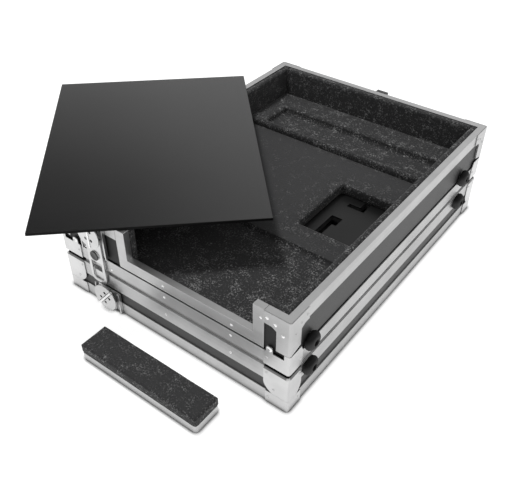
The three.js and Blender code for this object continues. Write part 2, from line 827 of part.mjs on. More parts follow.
// Rubber feet: a tapered cone, on the tray with a spigot that reaches in to the laminate
function foot(y, z, spigotStart) {
  const base = halfWidth + fit;
  const cone = new THREE.CylinderGeometry(footTipRadius, footBaseRadius, footHeight, roundSteps);
  cone.rotateZ(-Math.PI / 2).translate(base + footHeight / 2, y, z);
  if (spigotStart >= base) return cone;
  const length = base + footHeight / 2 - spigotStart;
  const spigot = new THREE.CylinderGeometry(footSpigotRadius, footSpigotRadius, length, roundSteps);
  spigot.rotateZ(-Math.PI / 2).translate(spigotStart + length / 2, y, z);
  return join(cone, spigot);
}

function buildFeet() {
  const laminateFace = halfWidth - boardInset;
  const places = [["front", frontFace + frontFootPlace], ["back", backFace - backFootFromBack]];
  for (const [end, y] of places) {
    add("tray_foot_" + end, foot(y, trayBottom + trayFootRise, laminateFace + fit), rubber);
    add("lid_foot_" + end, foot(y, lidFootRise, halfWidth + fit), rubber);
  }
}

// Butterfly latch, drawn round its hub on the front face: x to the right, z up, -y outwards
function latchPlate(above, below) {
  const half = latchPlateWidth / 2;
  const back = -fit;
  const face = back - skin;
  const base = block(-half, half, face, back, -below, above);
  const rails = [-half, half - latchRailWidth].map((x) =>
    block(x, x + latchRailWidth, face - latchRailHeight, back, -below, above));
  const rivets = [-1, 1].map((side) =>
    rivetHead(side * (half - 3 * latchRailWidth), above - 2 * rivetRadius, face, rivetRadius, rivetHeight));
  return join(base, ...rails, ...rivets);
}

function latchHook(length) {
  const half = hookWidth / 2;
  const inner = half - hookBarWidth;
  const y1 = -fit - skin - fit;
  const y0 = y1 - hookThickness;
  const bottom = -hookTop - length;
  const crossbar = -hookTop - length * hookCrossbarShare;
  const loop = new THREE.Shape();
  loop.moveTo(half, -hookTop);
  loop.lineTo(-half, -hookTop);
  loop.lineTo(-half, bottom + inner);
  loop.quadraticCurveTo(-half, bottom, -half + inner, bottom);
  loop.lineTo(half - inner, bottom);
  loop.quadraticCurveTo(half, bottom, half, bottom + inner);
  const gap = new THREE.Path();
  gap.moveTo(inner, crossbar);
  gap.lineTo(inner, bottom + inner);
  gap.quadraticCurveTo(inner, bottom + hookBarWidth, 0, bottom + hookBarWidth);
  gap.quadraticCurveTo(-inner, bottom + hookBarWidth, -inner, bottom + inner);
  gap.lineTo(-inner, crossbar);
  loop.holes.push(gap);
  const strap = deep(loop, y0, y1);
  if (crossbar > -hookTop - hookRivetDrop) return strap;
  const rivet = frontDisc(0, -hookRivetDrop, hookRivetRadius, y0 - hookRivetHeight, y1);
  return join(strap, rivet);
}

function latchHub(angle) {
  const y1 = -fit - skin - fit - hookThickness - fit;
  const y0 = y1 - hubHeight;
  const barrel = new THREE.CylinderGeometry(barrelRadius, barrelRadius, 2 * wingRadius, rodSides);
  barrel.rotateZ(angle - Math.PI / 2);
  barrel.applyMatrix4(standing()).translate(0, y0 - barrelRadius / 2, 0);
  return join(frontDisc(0, 0, hubRadius, y0, y1), barrel);
}

// Turns a piece drawn in x and y up into x and z
function standing() {
  return new THREE.Matrix4().makeRotationX(Math.PI / 2);
}

// A half round wing beside the hinge barrel, with two openings for the hinge lugs
function latchWing(angle, side) {
  const y1 = -fit - skin - fit - hookThickness - fit - hubHeight - fit;
  const start = Math.asin(wingSetback / wingRadius);
  const shape = new THREE.Shape();
  shape.absarc(0, 0, wingRadius, start, Math.PI - start);
  for (const along of [-wingHoleSpread, wingHoleSpread]) {
    const hole = new THREE.Path();
    hole.absarc(along, wingHoleOffset, wingHoleRadius, 0, 2 * Math.PI);
    shape.holes.push(hole);
  }
  const options = { depth: wingThickness, bevelEnabled: false, curveSegments: roundSteps / 2 };
  const wing = new THREE.ExtrudeGeometry(shape, options);
  wing.rotateZ(side > 0 ? angle : angle + Math.PI);
  return wing.applyMatrix4(standing()).translate(0, y1, 0);
}

function buildLatch(name, fromLeft, hubZ, above, below, hookLength, angleDegrees) {
  const latch = new THREE.Group();
  latch.position.set(-halfWidth + fromLeft, frontFace, hubZ);
  const angle = THREE.MathUtils.degToRad(angleDegrees);
  add(name + "_latch_plate", latchPlate(above, below), steel, latch);
  add(name + "_latch_hook", latchHook(hookLength), steel, latch);
  add(name + "_latch_hub", latchHub(angle), steel, latch);
  add(name + "_latch_wing_a", latchWing(angle, 1), steel, latch);
  add(name + "_latch_wing_b", latchWing(angle, -1), steel, latch);
  flightCase.add(latch);
}

// Keeper under the tray's hook, on the lid's roof angle
function buildKeeper() {
  const x = -halfWidth + trayLatchFromLeft;
  const half = keeperWidth / 2;
  const top = lidHeight - fit;
  const shape = new THREE.Shape();
  shape.moveTo(x - half, top);
  shape.lineTo(x - half, top - keeperHeight + half / 2);
  shape.quadraticCurveTo(x - half, top - keeperHeight, x, top - keeperHeight);
  shape.quadraticCurveTo(x + half, top - keeperHeight, x + half, top - keeperHeight + half / 2);
  shape.lineTo(x + half, top);
  add("lid_keeper", deep(shape, frontFace - fit - skin, frontFace - fit), steel);
}

// Carrying handle: a plate with two ears, and a bail that hangs on its pins
function buildHandle() {
  const plateZ = (trayBottom + trayAngleLeg + grooveHeight + rimTop - rimLeg) / 2;
  const centreY = (frontFace + backFace) / 2;
  const face = -halfWidth - fit;
  const half = handleLength / 2;
  const pinX = face - handlePlateThickness - earReach / 2;
  const pinZ = plateZ + handlePlateHeight / 2 - handlePinDrop;
  const plate = block(
    face - handlePlateThickness, face + skin, centreY - half, centreY + half,
    plateZ - handlePlateHeight / 2, plateZ + handlePlateHeight / 2,
  );
  const ears = [-1, 1].map((end) => {
    const outer = centreY + end * half;
    const inner = outer - end * earLength;
    return block(
      face - handlePlateThickness - earReach, face, Math.min(outer, inner), Math.max(outer, inner),
      pinZ - earHeight / 2, pinZ + earHeight / 2,
    );
  });
  const bore = new THREE.CylinderGeometry(handleBore, handleBore, handleLength + overrun, roundSteps);
  add("handle_plate", cut(join(plate, ...ears), bore.translate(pinX, centreY, pinZ)), steel);

  const reach = half - earLength / 2;
  const legAt = half - earLength - handleRodRadius - fit;
  const gripZ = pinZ - handleDrop;
  const grip = new THREE.CylinderGeometry(
    handleGripRadius, handleGripRadius, handleGripLength, roundSteps,
  ).translate(face - handlePlateThickness - fit - handleGripRadius, centreY, gripZ);
  const bar = new THREE.CylinderGeometry(
    handleRodRadius, handleRodRadius, 2 * (legAt + handleRodRadius), rodSides,
  ).translate(pinX, centreY, gripZ);
  const parts = [bar, grip];
  for (const end of [-1, 1]) {
    const leg = new THREE.CylinderGeometry(
      handleRodRadius, handleRodRadius, handleDrop + handleRodRadius, rodSides,
    );
    leg.rotateX(Math.PI / 2).translate(pinX, centreY + end * legAt, (pinZ + gripZ) / 2);
    const pinLength = reach - legAt;
    const pin = new THREE.CylinderGeometry(handlePinRadius, handlePinRadius, pinLength, roundSteps);
    pin.translate(pinX, centreY + end * (legAt + pinLength / 2), pinZ);
    parts.push(leg, pin);
  }
  add("handle_bail", join(...parts), blackMetal);
}

// Catch at the back rim: a riveted plate with a turned-out lip
function buildCatch() {
  const x1 = halfWidth - catchFromRight;
  const y = backFace + fit;
  const top = rimTop + fit;
  const section = outline([
    [y, top - catchHeight],
    [y + catchPlate, top - catchHeight],
    [y + catchPlate, top - catchLip],
    [y + catchLip, top - catchLip / 2],
    [y + catchLip, top],
    [y, top],
  ]);
  add("rear_catch", across(section, x1 - catchWidth, x1), blackMetal);
}

// Cover board, lying turned across the left wall and the front stub
function buildCover() {
  const board = new THREE.BoxGeometry(coverLength, coverWidth, coverThickness);
  const cover = add("cover_board", board, blackBoard);
  cover.rotation.z = THREE.MathUtils.degToRad(coverTurn);
  cover.position.set(
    -halfWidth + coverCentreFromLeft,
    frontFace + coverCentreFromFront,
    rimTop + fit + coverThickness / 2,
  );
}

// Front panel: a board in an aluminium edge, with a foam block on the inside face
function buildFrontPanel() {
  const length = cutoutRight - cutoutLeft - panelClearance;
  const width = cutoutDepth - panelLift;
  const x0 = cutoutLeft - panelFromCutout;
  const x1 = x0 + length;
  const y1 = frontFace - panelAhead;
  const y0 = y1 - width;
  const z0 = 0;
  const z1 = z0 + panelEdgeHeight;
  const bandRing = (inset, bandWidth, low, high) => {
    const shape = roundedRectangle(
      x0 + inset, x1 - inset, y0 + inset, y1 - inset, panelEdgeRadius - inset,
    );
    const hole = inset + bandWidth;
    shape.holes.push(outline([
      [x0 + hole, y0 + hole], [x1 - hole, y0 + hole], [x1 - hole, y1 - hole], [x0 + hole, y1 - hole],
    ]));
    return upright(shape, low, high);
  };
  const edge = join(
    bandRing(0, skin, z0, z1),
    bandRing(0, panelEdgeLap, z0, z0 + skin),
    bandRing(0, panelEdgeLap, z1 - skin, z1),
  );
  add("front_panel_edge", edge, aluminium);
  const inset = skin + fit;
  add("front_panel_board", block(
    x0 + inset, x1 - inset, y0 + inset, y1 - inset, z0 + skin + fit, z1 - skin - fit,
  ), laminate);
  const f = panelFoamInset;
  const foamShape = outline([
    [x0 + f + panelFoamChamfer, y0 + f],
    [x1 - f, y0 + f],
    [x1 - f, y1 - f],
    [x0 + f + panelFoamChamfer, y1 - f],
    [x0 + f, y1 - f - panelFoamChamfer],
    [x0 + f, y0 + f + panelFoamChamfer],
  ]);
  add("front_panel_foam", upright(foamShape, z1 + fit, z1 + fit + panelFoamThickness), darkFoam);
}

buildLid();
buildTrayBoards();
buildTrayFrames();
buildTrayFoam();
buildFeet();
buildLatch(
  "tray", trayLatchFromLeft, trayBottom + trayLatchRise, trayLatchAbove, trayLatchBelow,
  trayHookLength, trayWingAngle,
);
buildLatch(
  "lid", lidLatchFromLeft, lidLatchRise, lidLatchAbove, lidLatchBelow, lidHookLength, lidWingAngle,
);
buildKeeper();
buildHandle();
buildCatch();
buildCover();
buildFrontPanel();

export default flightCase;
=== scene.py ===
# %% [markdown]
# A flight case for a DJ controller, opened for use. The foam-lined tray stands on its own lid, the
# board that covers the controller lies across the tray's rim, and the loose front panel lies in
# front. The solid model is loaded as a fixed frame: its pieces are already in their places, in
# metres, so this lesson only gives them their finishes and swaps some for finer pieces.

# %% Load the fixed frame
import json
import math
import bmesh
import bpy
from mathutils import Matrix, Vector, noise


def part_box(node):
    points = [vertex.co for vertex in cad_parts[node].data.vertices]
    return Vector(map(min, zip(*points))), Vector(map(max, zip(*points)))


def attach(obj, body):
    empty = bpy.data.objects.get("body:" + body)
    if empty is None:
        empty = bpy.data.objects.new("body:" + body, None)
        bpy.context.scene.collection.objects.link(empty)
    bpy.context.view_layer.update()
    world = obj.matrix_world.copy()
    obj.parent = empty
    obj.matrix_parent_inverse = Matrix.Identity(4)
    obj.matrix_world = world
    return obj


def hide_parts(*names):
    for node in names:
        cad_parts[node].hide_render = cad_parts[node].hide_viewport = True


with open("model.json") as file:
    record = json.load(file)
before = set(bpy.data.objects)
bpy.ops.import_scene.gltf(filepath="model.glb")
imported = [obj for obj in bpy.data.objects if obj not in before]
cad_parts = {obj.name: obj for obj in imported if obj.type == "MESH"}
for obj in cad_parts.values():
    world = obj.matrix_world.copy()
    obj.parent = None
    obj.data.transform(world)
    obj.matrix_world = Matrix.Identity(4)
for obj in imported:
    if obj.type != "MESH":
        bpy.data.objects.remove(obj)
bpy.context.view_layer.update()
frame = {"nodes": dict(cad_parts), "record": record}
nodes = frame["nodes"]

# %% [markdown]
# The camera stands to the right of the case and above it. Its lens and place came from fitting the
# straight edges of the case to the photograph, so the picture's frame and the model's frame agree.

# %% Camera
camera_data = bpy.data.cameras.new("camera")
camera_data.sensor_width = 36
camera_data.lens = 47.67
camera = bpy.data.objects.new("camera", camera_data)
camera.location = (0.4724, -0.4361, 0.6908)
camera.rotation_euler = (math.radians(49.98), 0, math.radians(37.18))
bpy.context.scene.collection.objects.link(camera)
bpy.context.scene.camera = camera
print("lens", camera_data.lens, "mm")

# %% [markdown]
# Shader nodes are easier to read when each is made in one line. This helper makes a node, sets what
# is fixed and links what comes from another node.

# %% Helper for shader nodes
def shader_node(tree, kind, inputs=None, **settings):
    made = tree.nodes.new(kind)
    for key, value in settings.items():
        setattr(made, key, value)
    for key, value in (inputs or {}).items():
        if isinstance(value, bpy.types.NodeSocket):
            tree.links.new(value, made.inputs[key])
        else:
            made.inputs[key].default_value = value
    return made


# %% [markdown]
# A product picture like this one is taken on a lit white sweep. A pale floor that glows stays
# white, and the glow fades within a few millimetres of whatever stands on it, so a thin contact
# shadow is left, which goes when the piece is lifted.

# %% White floor
scene = bpy.context.scene
scene.view_settings.view_transform = "Standard"
scene.view_settings.look = "None"

floor_reach = 8
floor_gap = 0.0002
floor_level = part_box("lid_rim_channel_frame")[0][2] - floor_gap
floor_bm = bmesh.new()
bmesh.ops.create_grid(floor_bm, x_segments=1, y_segments=1, size=floor_reach)
bmesh.ops.translate(floor_bm, verts=floor_bm.verts, vec=(0, 0, floor_level))
floor_mesh = bpy.data.meshes.new("floor")
floor_bm.to_mesh(floor_mesh)
floor_bm.free()
floor = bpy.data.objects.new("floor", floor_mesh)
scene.collection.objects.link(floor)

contact_reach = 0.006
full_glow = 0.90
floor_finish = bpy.data.materials.new("white floor")
floor_finish.use_nodes = True
floor_tree = floor_finish.node_tree
floor_shader = floor_tree.nodes["Principled BSDF"]
floor_shader.inputs["Base Color"].default_value = (0.35, 0.35, 0.35, 1)
floor_shader.inputs["Roughness"].default_value = 0.9
floor_shader.inputs["Specular IOR Level"].default_value = 0.0
floor_shader.inputs["Emission Color"].default_value = (1, 1, 1, 1)
openness_above = shader_node(
    floor_tree, "ShaderNodeAmbientOcclusion", {"Distance": contact_reach}, samples=8
)
glow = shader_node(
    floor_tree, "ShaderNodeMapRange",
    {"Value": openness_above.outputs["AO"], "From Min": 0.5, "From Max": 0.95,
     "To Min": 0.0, "To Max": full_glow}, clamp=True,
)
floor_tree.links.new(glow.outputs["Result"], floor_shader.inputs["Emission Strength"])
floor_mesh.materials.append(floor_finish)
print("floor at", round(floor_level * 1000, 1), "mm")

# %% [markdown]
# The sky is brighter in reflections than as a lamp: metal stays light while the one overhead lamp
# still throws a shadow under the cover board. The lamp itself is kept out of reflections, as a
# polarising filter does. A black flag hangs high on the left: in the sky it is a soft dark patch,
# and the glossy cover board fades towards it.

# %% Sky and lamp
flag_direction = (-0.700, 0.250, 0.669)
flag_edge = 0.88
sky_in_reflections = 0.88
sky_behind_flag = 0.02
sky_as_lamp = 0.38
sky = bpy.data.worlds.new("sky")
sky.use_nodes = True
sky_tree = sky.node_tree
towards = shader_node(sky_tree, "ShaderNodeTexCoord")
flag_side = shader_node(
    sky_tree, "ShaderNodeVectorMath", {0: towards.outputs["Generated"], 1: flag_direction},
    operation="DOT_PRODUCT",
)
flag = shader_node(
    sky_tree, "ShaderNodeMapRange",
    {"Value": flag_side.outputs["Value"], "From Min": flag_edge, "From Max": 1.0,
     "To Min": sky_in_reflections, "To Max": sky_behind_flag}, interpolation_type="SMOOTHSTEP",
)
seen = shader_node(sky_tree, "ShaderNodeLightPath")
lamp_light = shader_node(
    sky_tree, "ShaderNodeMix",
    {0: seen.outputs["Is Diffuse Ray"], 2: flag.outputs["Result"], 3: sky_as_lamp},
    data_type="FLOAT",
)
sky_light = shader_node(
    sky_tree, "ShaderNodeMix", {0: seen.outputs["Is Camera Ray"], 2: lamp_light.outputs[0], 3: 1.0},
    data_type="FLOAT",
)
sky_tree.links.new(sky_light.outputs[0], sky_tree.nodes["Background"].inputs["Strength"])
sky_tree.nodes["Background"].inputs["Color"].default_value = (1, 1, 1, 1)
scene.world = sky


def soft_lamp(name, place, aim, width, watts):
    lamp_data = bpy.data.lights.new(name, "AREA")
    lamp_data.size = width
    lamp_data.energy = watts
    lamp = bpy.data.objects.new(name, lamp_data)
    lamp.location = place
    lamp.rotation_euler = (Vector(aim) - Vector(place)).to_track_quat("-Z", "Y").to_euler()
    lamp.visible_glossy = False
    scene.collection.objects.link(lamp)
    print(name, watts, "W")


soft_lamp("overhead lamp", place=(-0.65, 0.25, 2.0), aim=(0, 0.25, 0.1), width=0.35, watts=26.0)

# %% [markdown]
# An effect that several finishes share is a node group: a small tree with named inputs and outputs.

# %% Helper for node groups
def new_group(name, inputs, outputs):
    group = bpy.data.node_groups.new(name, "ShaderNodeTree")
    for socket, value in inputs.items():
        made = group.interface.new_socket(socket, in_out="INPUT", socket_type="NodeSocketFloat")
        made.default_value = value
    for socket in outputs:
        group.interface.new_socket(socket, in_out="OUTPUT", socket_type="NodeSocketFloat")
    return group, group.nodes.new("NodeGroupInput"), group.nodes.new("NodeGroupOutput")


# %% [markdown]
# Extruded aluminium carries fine lines along its length. On the front and back rails they run along
# X, on the side rails along Y, so the group stretches its noise one way or the other by how far out
# from the middle of the case a point lies.

# %% Drawn lines of an extrusion
drawn_lines, given, result = new_group(
    "drawn lines", {"Along": 5.0, "Across": 500.0, "Rail Edge": 0.1845}, ["Lines", "Clouds"]
)
place = shader_node(drawn_lines, "ShaderNodeTexCoord")
apart = shader_node(drawn_lines, "ShaderNodeSeparateXYZ", {0: place.outputs["Object"]})
from_middle = shader_node(
    drawn_lines, "ShaderNodeMath", {0: apart.outputs["X"]}, operation="ABSOLUTE"
)
on_side = shader_node(
    drawn_lines, "ShaderNodeMath", {0: from_middle.outputs[0], 1: given.outputs["Rail Edge"]},
    operation="GREATER_THAN",
)
along_x = shader_node(
    drawn_lines, "ShaderNodeCombineXYZ",
    {"X": given.outputs["Along"], "Y": given.outputs["Across"], "Z": given.outputs["Across"]},
)
along_y = shader_node(
    drawn_lines, "ShaderNodeCombineXYZ",
    {"X": given.outputs["Across"], "Y": given.outputs["Along"], "Z": given.outputs["Across"]},
)
stretch = shader_node(
    drawn_lines, "ShaderNodeMix",
    {0: on_side.outputs[0], 4: along_x.outputs[0], 5: along_y.outputs[0]}, data_type="VECTOR",
)
stretched = shader_node(
    drawn_lines, "ShaderNodeVectorMath", {0: place.outputs["Object"], 1: stretch.outputs[1]},
    operation="MULTIPLY",
)
lines = shader_node(
    drawn_lines, "ShaderNodeTexNoise", {"Vector": stretched.outputs[0], "Scale": 1.0, "Detail": 4.0}
)
clouds = shader_node(
    drawn_lines, "ShaderNodeTexNoise",
    {"Vector": place.outputs["Object"], "Scale": 22.0, "Detail": 3.0},
)
drawn_lines.links.new(lines.outputs["Fac"], result.inputs["Lines"])
drawn_lines.links.new(clouds.outputs["Fac"], result.inputs["Clouds"])
print("group", drawn_lines.name)

# %% [markdown]
# Pressed and plated sheet has no direction: it is smooth with faint clouds, tiny pits and a few
# scuffs. The same group, set finer, serves for laminate, rubber and lacquer.

# %% Fine grain
fine_grain, given, result = new_group(
    "fine grain", {"Grain Scale": 1500.0, "Cloud Scale": 30.0, "Scuff Scale": 60.0},
    ["Grain", "Clouds", "Scuffs"],
)
place = shader_node(fine_grain, "ShaderNodeTexCoord")
grain = shader_node(
    fine_grain, "ShaderNodeTexNoise",
    {"Vector": place.outputs["Object"], "Scale": given.outputs["Grain Scale"], "Detail": 2.0},
)
clouds = shader_node(
    fine_grain, "ShaderNodeTexNoise",
    {"Vector": place.outputs["Object"], "Scale": given.outputs["Cloud Scale"], "Detail": 4.0},
)
scuff_noise = shader_node(
    fine_grain, "ShaderNodeTexNoise",
    {"Vector": place.outputs["Object"], "Scale": given.outputs["Scuff Scale"], "Detail": 8.0,
     "Distortion": 1.6},
)
scuffs = shader_node(
    fine_grain, "ShaderNodeMapRange",
    {"Value": scuff_noise.outputs["Fac"], "From Min": 0.62, "From Max": 0.72}, clamp=True,
)
fine_grain.links.new(grain.outputs["Fac"], result.inputs["Grain"])
fine_grain.links.new(clouds.outputs["Fac"], result.inputs["Clouds"])
fine_grain.links.new(scuffs.outputs["Result"], result.inputs["Scuffs"])
print("group", fine_grain.name)

# %% [markdown]
# The foam is dark, with open cells whose walls catch the light as pale flecks a millimetre or two
# across. The flecks come from thresholded noise, bent a little so that some are short curls, and a
# slower noise gathers them into clumps. The same noise makes the pits of the surface.

# %% Foam cells
clumping = 0.38
foam_cells, given, result = new_group(
    "foam cells", {"Cell Scale": 430.0, "Patch Scale": 70.0}, ["Flecks", "Pits", "Patches"]
)
place = shader_node(foam_cells, "ShaderNodeTexCoord")
cells = shader_node(
    foam_cells, "ShaderNodeTexNoise",
    {"Vector": place.outputs["Object"], "Scale": given.outputs["Cell Scale"], "Detail": 2.0,
     "Roughness": 0.6, "Distortion": 0.7},
)
patches = shader_node(
    foam_cells, "ShaderNodeTexNoise",
    {"Vector": place.outputs["Object"], "Scale": given.outputs["Patch Scale"], "Detail": 3.0},
)
lifted = shader_node(
    foam_cells, "ShaderNodeMath",
    {0: patches.outputs["Fac"], 1: clumping, 2: cells.outputs["Fac"]}, operation="MULTIPLY_ADD",
)
flecks = shader_node(
    foam_cells, "ShaderNodeMapRange",
    {"Value": lifted.outputs[0], "From Min": 0.73, "From Max": 0.98}, clamp=True,
)
foam_cells.links.new(flecks.outputs["Result"], result.inputs["Flecks"])
foam_cells.links.new(cells.outputs["Fac"], result.inputs["Pits"])
foam_cells.links.new(patches.outputs["Fac"], result.inputs["Patches"])
print("group", foam_cells.name)

# %% [markdown]
# A finish is a Principled shader fed by one of the groups: two tones mixed by the clouds, roughness
# that varies a little, and a shallow bump. The metals reflect the white room, so their base colour
# is a middle grey rather than white.

# %% Finishes for metal, laminate and rubber
def finish(name, group, tones, roughness, metallic=0.0, bump=0.05, bump_from="Grain", scales=None,
           specular=0.5):
    made = bpy.data.materials.new(name)
    made.use_nodes = True
    tree = made.node_tree
    shader = tree.nodes["Principled BSDF"]
    shader.inputs["Metallic"].default_value = metallic
    shader.inputs["Specular IOR Level"].default_value = specular
    pattern = tree.nodes.new("ShaderNodeGroup")
    pattern.node_tree = group
    for socket, value in (scales or {}).items():
        pattern.inputs[socket].default_value = value
    dark, light = tones
    shade = shader_node(
        tree, "ShaderNodeMapRange",
        {"Value": pattern.outputs["Clouds"], "From Min": 0.3, "From Max": 0.7,
         "To Min": dark, "To Max": light}, clamp=True,
    )
    colour = shader_node(
        tree, "ShaderNodeCombineColor",
        {"Red": shade.outputs[0], "Green": shade.outputs[0], "Blue": shade.outputs[0]},
    )
    gloss = shader_node(
        tree, "ShaderNodeMapRange",
        {"Value": pattern.outputs[bump_from], "From Min": 0.3, "From Max": 0.7,
         "To Min": roughness[0], "To Max": roughness[1]}, clamp=True,
    )
    relief = shader_node(
        tree, "ShaderNodeBump",
        {"Height": pattern.outputs[bump_from], "Strength": bump, "Distance": 0.0005},
    )
    tree.links.new(colour.outputs[0], shader.inputs["Base Color"])
    tree.links.new(gloss.outputs[0], shader.inputs["Roughness"])
    tree.links.new(relief.outputs[0], shader.inputs["Normal"])
    return made


aluminium = finish(
    "satin aluminium extrusion", drawn_lines, (0.45, 0.53), (0.36, 0.46), metallic=1.0, bump=0.04,
    bump_from="Lines",
)
steel = finish(
    "plated steel pressing", fine_grain, (0.54, 0.62), (0.28, 0.33), metallic=1.0, bump=0.006
)
rivet_steel = finish(
    "bright rivet", fine_grain, (0.80, 0.88), (0.16, 0.22), metallic=1.0, bump=0.0
)
laminate = finish("black laminate", fine_grain, (0.028, 0.036), (0.42, 0.55), bump=0.12)
rubber = finish("black rubber", fine_grain, (0.018, 0.028), (0.6, 0.8), bump=0.2)
black_metal = finish("black lacquered metal", fine_grain, (0.016, 0.024), (0.35, 0.45))
plate_sheet = finish("black plate", fine_grain, (0.005, 0.008), (0.4, 0.5), specular=0.3)
# A darker copy of the laminate is painted shade, for the front wall's stub.
laminate_with_painted_shade = finish(
    "black laminate with painted shade", fine_grain, (0.010, 0.014), (0.5, 0.6), bump=0.1, specular=0.3
)
print("satin aluminium, plated steel, bright rivets, laminate, rubber and lacquer mixed")

# %% [markdown]
# The cover board has a satin lacquer on its faces, which mirrors the sky softly, and sawn edges
# that are only stained black. The lacquer is the shader's coat, and its weight is a mask that is one
# where a face lies level and looks up.

# %% Finish for the cover board
cover_sheet = finish(
    "satin black cover board", fine_grain, (0.003, 0.006), (0.45, 0.55), bump=0.02,
    scales={"Cloud Scale": 6.0}, specular=0.08,
)
cover_tree = cover_sheet.node_tree
cover_shader = cover_tree.nodes["Principled BSDF"]
cover_shader.inputs["Coat Roughness"].default_value = 0.22
cover_shader.inputs["Coat IOR"].default_value = 1.47
cover_faces = shader_node(cover_tree, "ShaderNodeNewGeometry")
cover_slope = shader_node(cover_tree, "ShaderNodeSeparateXYZ", {0: cover_faces.outputs["Normal"]})
lacquered = shader_node(
    cover_tree, "ShaderNodeMapRange",
    {"Value": cover_slope.outputs["Z"], "From Min": 0.90, "From Max": 0.99}, clamp=True,
)
cover_tree.links.new(lacquered.outputs[0], cover_shader.inputs["Coat Weight"])
print("lacquer on", cover_sheet.name)

# %% [markdown]
# The crown of each of the lid's corners lies in the seam under the tray, and shade is painted into
# it: its flat top is painted nearly black and its slanted edge grey. Only the tip keeps the plain
# steel. Masks from the face's slope, from the height and from the distance to the tip mix these
# painted shade tones into the steel.

# %% Painted seam shade on the lid's corner crowns
tip_start = 0.0060
tip_end = 0.0045
tip_depth = (0.0030, 0.0020)
crown_depth = (0.0056, 0.0050)
edge_depth, top_depth = 0.0034, 0.0022
shade_edge_grey, shade_top_black = 0.20, 0.004
slope_start, slope_end = 0.15, 0.40


def painted_seam_shade(metal, box):
    made = metal.copy()
    made.name = "plated steel with painted seam shade"
    tree = made.node_tree
    shader = tree.nodes["Principled BSDF"]
    plain = shader.inputs["Base Color"].links[0].from_socket
    top = box[1][2]

    def ramp(value, start, end, low=0.0, high=1.0):
        return shader_node(
            tree, "ShaderNodeMapRange",
            {"Value": value, "From Min": start, "From Max": end, "To Min": low, "To Max": high},
            clamp=True,
        ).outputs[0]

    def combined(first, second, operation):
        joined = shader_node(tree, "ShaderNodeMath", {0: first, 1: second}, operation=operation)
        return joined.outputs[0]

    spot = shader_node(tree, "ShaderNodeTexCoord")
    at = shader_node(tree, "ShaderNodeSeparateXYZ", {0: spot.outputs["Object"]})
    faces = shader_node(tree, "ShaderNodeNewGeometry")
    slope = shader_node(tree, "ShaderNodeSeparateXYZ", {0: faces.outputs["Normal"]})
    out_x = combined(at.outputs["X"], 0.0, "ABSOLUTE")
    out_y = combined(combined(at.outputs["Y"], case_middle_y, "SUBTRACT"), 0.0, "ABSOLUTE")
    height = at.outputs["Z"]
    reach_x = box[1][0]
    reach_y = case_middle_y - box[0][1]
    tip = combined(
        ramp(out_x, reach_x - tip_start, reach_x - tip_end),
        ramp(out_y, reach_y - tip_start, reach_y - tip_end), "MULTIPLY",
    )
    low_tip = combined(
        tip, ramp(height, top - tip_depth[0], top - tip_depth[1], 1.0, 0.0), "MULTIPLY"
    )
    crown = ramp(height, top - crown_depth[0], top - crown_depth[1])
    in_seam = combined(crown, combined(1.0, low_tip, "SUBTRACT"), "MULTIPLY")
    painted_shade_mask = combined(ramp(slope.outputs["Z"], slope_start, slope_end), in_seam, "MULTIPLY")
    # Painted shade: nearly black on the flat top, grey lower down the edge.
    painted_shade_tone = ramp(height, top - edge_depth, top - top_depth, shade_edge_grey, shade_top_black)
    tone = shader_node(
        tree, "ShaderNodeCombineColor", {"Red": painted_shade_tone, "Green": painted_shade_tone, "Blue": painted_shade_tone}
    )
    mixed = shader_node(
        tree, "ShaderNodeMix", {0: painted_shade_mask, 6: plain, 7: tone.outputs[0]}, data_type="RGBA"
    )
    tree.links.new(mixed.outputs[2], shader.inputs["Base Color"])
    return made


corner_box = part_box("lid_roof_corner_front_right")
case_middle_y = (corner_box[0][1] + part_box("lid_roof_corner_back_right")[1][1]) / 2
steel_with_painted_seam_shade = painted_seam_shade(steel, corner_box)
print("crown at", round(corner_box[1][2] * 1000, 1), "mm")

# %% [markdown]
# The foam's finish mixes a near-black body colour with the pale flecks. The skin of the sheet shows
# few of them, and the cut faces and edges many, so each foam piece carries an attribute that says
# how open its surface is. Foam has no gloss: the roughness is high and the specular level low, with
# a little sheen for the cut cells.

# %% Finish for foam
blue_tint = 1.02


def foam_finish(name, skin, body, fleck):
    made = bpy.data.materials.new(name)
    made.use_nodes = True
    tree = made.node_tree
    shader = tree.nodes["Principled BSDF"]
    shader.inputs["Roughness"].default_value = 0.95
    shader.inputs["Specular IOR Level"].default_value = 0.15
    shader.inputs["Sheen Weight"].default_value = 0.15
    pattern = tree.nodes.new("ShaderNodeGroup")
    pattern.node_tree = foam_cells
    open_cells = shader_node(tree, "ShaderNodeAttribute", attribute_name="open_cells")
    marbled = shader_node(
        tree, "ShaderNodeMapRange",
        {"Value": pattern.outputs["Patches"], "From Min": 0.3, "From Max": 0.7,
         "To Min": -0.3, "To Max": 0.3},
    )
    opened = shader_node(
        tree, "ShaderNodeMath", {0: open_cells.outputs["Fac"], 1: marbled.outputs[0]},
        operation="ADD", use_clamp=True,
    )
    base = shader_node(
        tree, "ShaderNodeMix",
        {0: opened.outputs[0], 6: (skin, skin, skin * blue_tint, 1),
         7: (body, body, body * blue_tint, 1)},
        data_type="RGBA",
    )
    share = shader_node(
        tree, "ShaderNodeMath", {0: pattern.outputs["Flecks"], 1: opened.outputs[0]},
        operation="MULTIPLY",
    )
    mixed = shader_node(
        tree, "ShaderNodeMix",
        {0: share.outputs[0], 6: base.outputs[2], 7: (fleck, fleck, fleck, 1)},
        data_type="RGBA",
    )
    relief = shader_node(
        tree, "ShaderNodeBump",
        {"Height": pattern.outputs["Pits"], "Strength": 0.5, "Distance": 0.001},
    )
    tree.links.new(mixed.outputs[2], shader.inputs["Base Color"])
    tree.links.new(relief.outputs[0], shader.inputs["Normal"])
    return made


foam = foam_finish("charcoal foam", skin=0.044, body=0.027, fleck=0.31)
print("foam mixed from", foam_cells.name)

# %% [markdown]
# Boards and extrusions already have their right shape. Real ones have no knife edges, so each keeps
# its solid mesh and gets modifiers: its loose triangles are welded, flat faces are made whole again
# and the edges are broken by a fraction of a millimetre, which catches the light.

